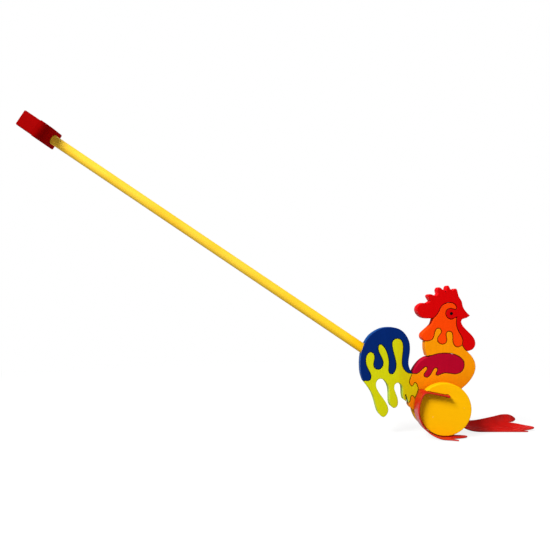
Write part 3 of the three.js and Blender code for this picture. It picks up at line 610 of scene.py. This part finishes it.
class Laid:
    """Leather laid along a path in XZ, with its outer side lifted; distances run from the slot."""

    def __init__(self, path, hold, lift, ease):
        self.path = path
        self.lengths = np.r_[0, np.cumsum(np.linalg.norm(np.diff(path, axis=0), axis=1))]
        self.start = (path[1] - path[0]) / self.lengths[1]
        self.hold = hold
        self.lift = lift
        self.ease = ease
        self.mouth_height = self.at(np.zeros(1))[1][0]

    def at(self, distance):
        length = distance + SLOT_RUN
        before = np.minimum(length, 0)
        return [np.interp(length, self.lengths, self.path[:, k]) + before * self.start[k]
                for k in (0, 1)]

    def eased(self, distance):
        """The path with its bends rounded off over the ease to either side."""
        turn = np.linspace(-math.pi, math.pi, EASE_STEPS)
        places = [self.at(distance + self.ease * share) for share in turn / math.pi]
        return np.average(places, axis=0, weights=1 + np.cos(turn))

    def rise(self, distance, edge, height):
        across = np.clip((edge - STRAP_INNER) / palm_width(distance), 0, 1)
        along_palm = np.clip(distance / PALM_LENGTH, 0, 1)
        power = LEAN_AT_SLOT + (LEAN_AT_NOTCHES - LEAN_AT_SLOT) * along_palm
        held = self.hold * np.maximum(0, self.mouth_height - height) * (distance > 0)
        lifted = self.lift * smoothstep(distance, LIFT_START, PALM_LENGTH)
        droop = TOE_DROOP * smoothstep(distance, PALM_LENGTH, FOOT_LENGTH)
        return across ** power * (held + lifted) * (1 - droop)

    def middle(self, distance, edge, splay, curl):
        x, height = self.at(distance)
        z = height + self.rise(distance, edge - splay, height) + curl
        free = np.clip((edge - WHEEL_FACE) / STRAP_PROUD, 0, 1)
        free = free * (1 - smoothstep(distance, EASE_FROM, EASE_TO))
        eased_x, eased_height = self.eased(distance)
        return np.stack([x + free * (eased_x - x), edge, z + free * (eased_height - height)], 1)

    def normal(self, distance, edge, splay, curl):
        ahead = (self.middle(distance + PROBE, edge, splay, curl)
                 - self.middle(distance - PROBE, edge, splay, curl))
        outwards = (self.middle(distance, edge + PROBE, splay, curl)
                    - self.middle(distance, edge - PROBE, splay, curl))
        normal = np.cross(ahead, outwards)
        return normal / np.linalg.norm(normal, axis=1)[:, None]


def palm_rows(toe):
    """(distance, inner edge, outer edge, splay, curl) of the bead, the strap and the palm."""
    quarter = np.linspace(0, math.pi / 2, BEAD_ROWS, endpoint=False)
    bead = -SLOT_RUN - BEAD_DIAMETER / 2 * np.cos(quarter)
    slot = np.linspace(-SLOT_RUN, 0, SLOT_ROWS, endpoint=False)
    palm = np.linspace(0, PALM_LENGTH, PALM_ROWS)
    return [(d, across_foot(TOE_ROOTS[toe], d), across_foot(TOE_ROOTS[toe + 1], d), 0.0, 0.0)
            for d in np.r_[bead, slot, palm]]


def toe_rows(toe, tip_curl):
    inner = across_foot(TOE_ROOTS[toe], PALM_LENGTH)
    outer = across_foot(TOE_ROOTS[toe + 1], PALM_LENGTH)
    root = (inner + outer) / 2
    tip = across_foot(TOE_TIPS[toe], PALM_LENGTH)
    length = TOE_REACH[toe] * (FOOT_LENGTH - PALM_LENGTH)
    rows = []
    for angle in np.linspace(0, math.pi / 2, TOE_ROWS)[1:]:
        share = math.sin(angle)
        centre = root + (tip - root) * share ** TOE_BEND
        width = max(TOE_END, math.sqrt(max(0.0, 1 - share ** TOE_FULLNESS)))
        half = width * (outer - inner) / 2
        rows.append((PALM_LENGTH + share * length, centre - half, centre + half,
                     centre - root, tip_curl * share ** TOE_CURL_POWER))
    return rows


def flat_pattern(toe_curl):
    """The foot's points (distance, edge, splay, curl), and its quads of point numbers."""
    points, quads, numbers = [], [], {}

    def number(distance, edge, splay, curl):
        key = (round(distance / MM, SAME_DIGITS), round(edge / MM, SAME_DIGITS))
        if key not in numbers:
            numbers[key] = len(points)
            points.append((distance, edge, splay, curl))
        return numbers[key]

    for toe, columns in enumerate(BAND_COLUMNS):
        shares = (1 - np.cos(np.linspace(0, math.pi, columns + 1))) / 2
        rows = palm_rows(toe) + toe_rows(toe, toe_curl[toe])
        grid = [[number(distance, inner + (outer - inner) * share, splay, curl) for share in shares]
                for distance, inner, outer, splay, curl in rows]
        for upper, lower in zip(grid, grid[1:]):
            for k in range(columns):
                quads.append((upper[k], upper[k + 1], lower[k + 1], lower[k]))
    return np.array(points), quads


def rim_of(points, quads):
    """How far each flat point lies from the pattern's outline, and the outline's edges."""
    uses = {}
    for quad in quads:
        for a, b in zip(quad, quad[1:] + quad[:1]):
            uses.setdefault((min(a, b), max(a, b)), []).append((a, b))
    rim = [edges[0] for edges in uses.values() if len(edges) == 1]
    starts = points[[a for a, _ in rim]]
    along = points[[b for _, b in rim]] - starts
    squares = (along ** 2).sum(1)
    nearest = []
    for point in points:
        share = np.clip(((point - starts) * along).sum(1) / squares, 0, 1)
        nearest.append(np.linalg.norm(starts + along * share[:, None] - point, axis=1).min())
    return np.array(nearest), rim


def make_foot(name, path, side, hold, lift, ease, toe_curl):
    """A leather foot, cut in one piece and laid along a path. side is 1 on the rooster's left."""
    points, quads = flat_pattern(toe_curl)
    from_rim, rim = rim_of(points[:, :2], quads)
    laid = Laid(path, hold, lift, ease)
    along = points[:, 0] + SLOT_RUN
    rounding = np.sqrt(1 - (1 - np.clip(from_rim / RIM_ROUNDING, 0, 1)) ** 2)
    rounding = RIM_WALL + (1 - RIM_WALL) * rounding
    bead = np.sqrt(np.maximum(0, (BEAD_DIAMETER / 2) ** 2 - along ** 2))
    half = np.maximum(np.where(along > 0, WORN_LEATHER / 2, 0), bead) * rounding
    half = np.maximum(half, LEAST_HALF)[:, None]
    middle = laid.middle(*points.T)
    normal = laid.normal(*points.T)
    both = np.vstack([middle + normal * half, middle - normal * half]) * [1, side, 1]
    count = len(points)
    faces = quads + [tuple(count + k for k in reversed(quad)) for quad in quads]
    faces += [(b, a, a + count, b + count) for a, b in rim]
    mesh = bpy.data.meshes.new(name)
    mesh.from_pydata([Vector(point) + AXLE for point in both], [], faces)
    seen = np.tile(1 - np.clip(from_rim / RIM_SEEN, 0, 1), 2)
    mesh.attributes.new("rim", "FLOAT", "POINT").data.foreach_set("value", seen)
    shell = bmesh.new()
    shell.from_mesh(mesh)
    bmesh.ops.recalc_face_normals(shell, faces=shell.faces)
    shell.to_mesh(mesh)
    shell.free()
    mesh.polygons.foreach_set("use_smooth", [True] * len(mesh.polygons))
    mesh.materials.append(LEATHER_LOOK)
    foot = bpy.data.objects.new(name, mesh)
    bpy.context.scene.collection.objects.link(foot)
    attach(foot, "wheel_set")
    return foot


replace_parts(make_foot("leather_foot_right", near_path(), -1, **NEAR_FOOT), "foot_right")
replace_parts(make_foot("leather_foot_left", far_path(), 1, **FAR_FOOT), "foot_left")


# Stage

def make_floor():
    """A pale floor that keeps a faint shadow near the toy and fades to plain white further off."""
    half = FLOOR_SIDE / 2
    mesh = bpy.data.meshes.new("floor")
    corners = [(x * half, y * half, -FLOOR_BELOW) for x, y in ((-1, -1), (1, -1), (1, 1), (-1, 1))]
    mesh.from_pydata(corners, [], [(0, 1, 2, 3)])
    graph = Graph("pale_floor")
    rays = graph.add("ShaderNodeLightPath").outputs
    away = graph.add("ShaderNodeVectorMath", operation="LENGTH")
    graph.join(graph.add("ShaderNodeTexCoord").outputs["Object"], away.inputs[0])
    fade = graph.ramp(away.outputs["Value"], FADE_FROM, FADE_TO, SHADOW_FADE)
    gloss = graph.ramp(graph.along("X"), GLOSS_FROM, GLOSS_TO, GLOSS_BEHIND, GLOSS_AHEAD)
    white = graph.maths("ADD", graph.maths("MULTIPLY", rays["Is Camera Ray"], fade),
                        graph.maths("MULTIPLY", rays["Is Glossy Ray"], gloss))
    graph.finish(graph.blend(rays["Is Camera Ray"], FLOOR_BOUNCE, FLOOR_SEEN), 1.0, 0.0)
    graph.whiten(white)
    mesh.materials.append(graph.material)
    floor = bpy.data.objects.new("floor", mesh)
    bpy.context.scene.collection.objects.link(floor)


def make_world():
    """Even light from all round, plain white to the camera."""
    world = bpy.data.worlds.new("studio")
    bpy.context.scene.world = world
    world.use_nodes = True
    tree = world.node_tree
    tree.nodes.clear()
    light = tree.nodes.new("ShaderNodeBackground")
    light.inputs["Strength"].default_value = WORLD_LEVEL
    white = tree.nodes.new("ShaderNodeBackground")
    for node in (light, white):
        node.inputs["Color"].default_value = (1, 1, 1, 1)
    path = tree.nodes.new("ShaderNodeLightPath")
    mixed = tree.nodes.new("ShaderNodeMixShader")
    output = tree.nodes.new("ShaderNodeOutputWorld")
    tree.links.new(path.outputs["Is Camera Ray"], mixed.inputs["Fac"])
    tree.links.new(light.outputs["Background"], mixed.inputs[FIRST_SHADER])
    tree.links.new(white.outputs["Background"], mixed.inputs[SECOND_SHADER])
    tree.links.new(mixed.outputs["Shader"], output.inputs["Surface"])


def make_lamp(name, towards, distance, size, level, mirrored=True):
    lamp = bpy.data.lights.new(name, "AREA")
    lamp.size = size
    lamp.energy = level * (math.pi * distance) ** 2
    holder = bpy.data.objects.new(name, lamp)
    holder.visible_glossy = mirrored
    away = Vector(towards).normalized()
    holder.location = Vector(LIT_POINT) + away * distance
    holder.rotation_euler = (-away).to_track_quat("-Z", "Y").to_euler()
    bpy.context.scene.collection.objects.link(holder)


def make_camera():
    lens = bpy.data.cameras.new("camera")
    lens.sensor_width = SENSOR_WIDTH
    lens.lens = FOCAL_PIXELS / IMAGE_SIDE * SENSOR_WIDTH
    lens.shift_y = HORIZON_BELOW_MIDDLE / IMAGE_SIDE
    camera = bpy.data.objects.new("camera", lens)
    camera.location = AXLE + CAMERA_FROM_AXLE
    camera.rotation_euler = (math.pi / 2, 0, 0)
    bpy.context.scene.collection.objects.link(camera)
    bpy.context.scene.camera = camera


make_floor()
make_world()
make_camera()
make_lamp("key", **KEY)
make_lamp("fill", **FILL)
make_lamp("top", **TOP)
make_lamp("back", **BACK)
bpy.context.scene.view_settings.view_transform = "Standard"
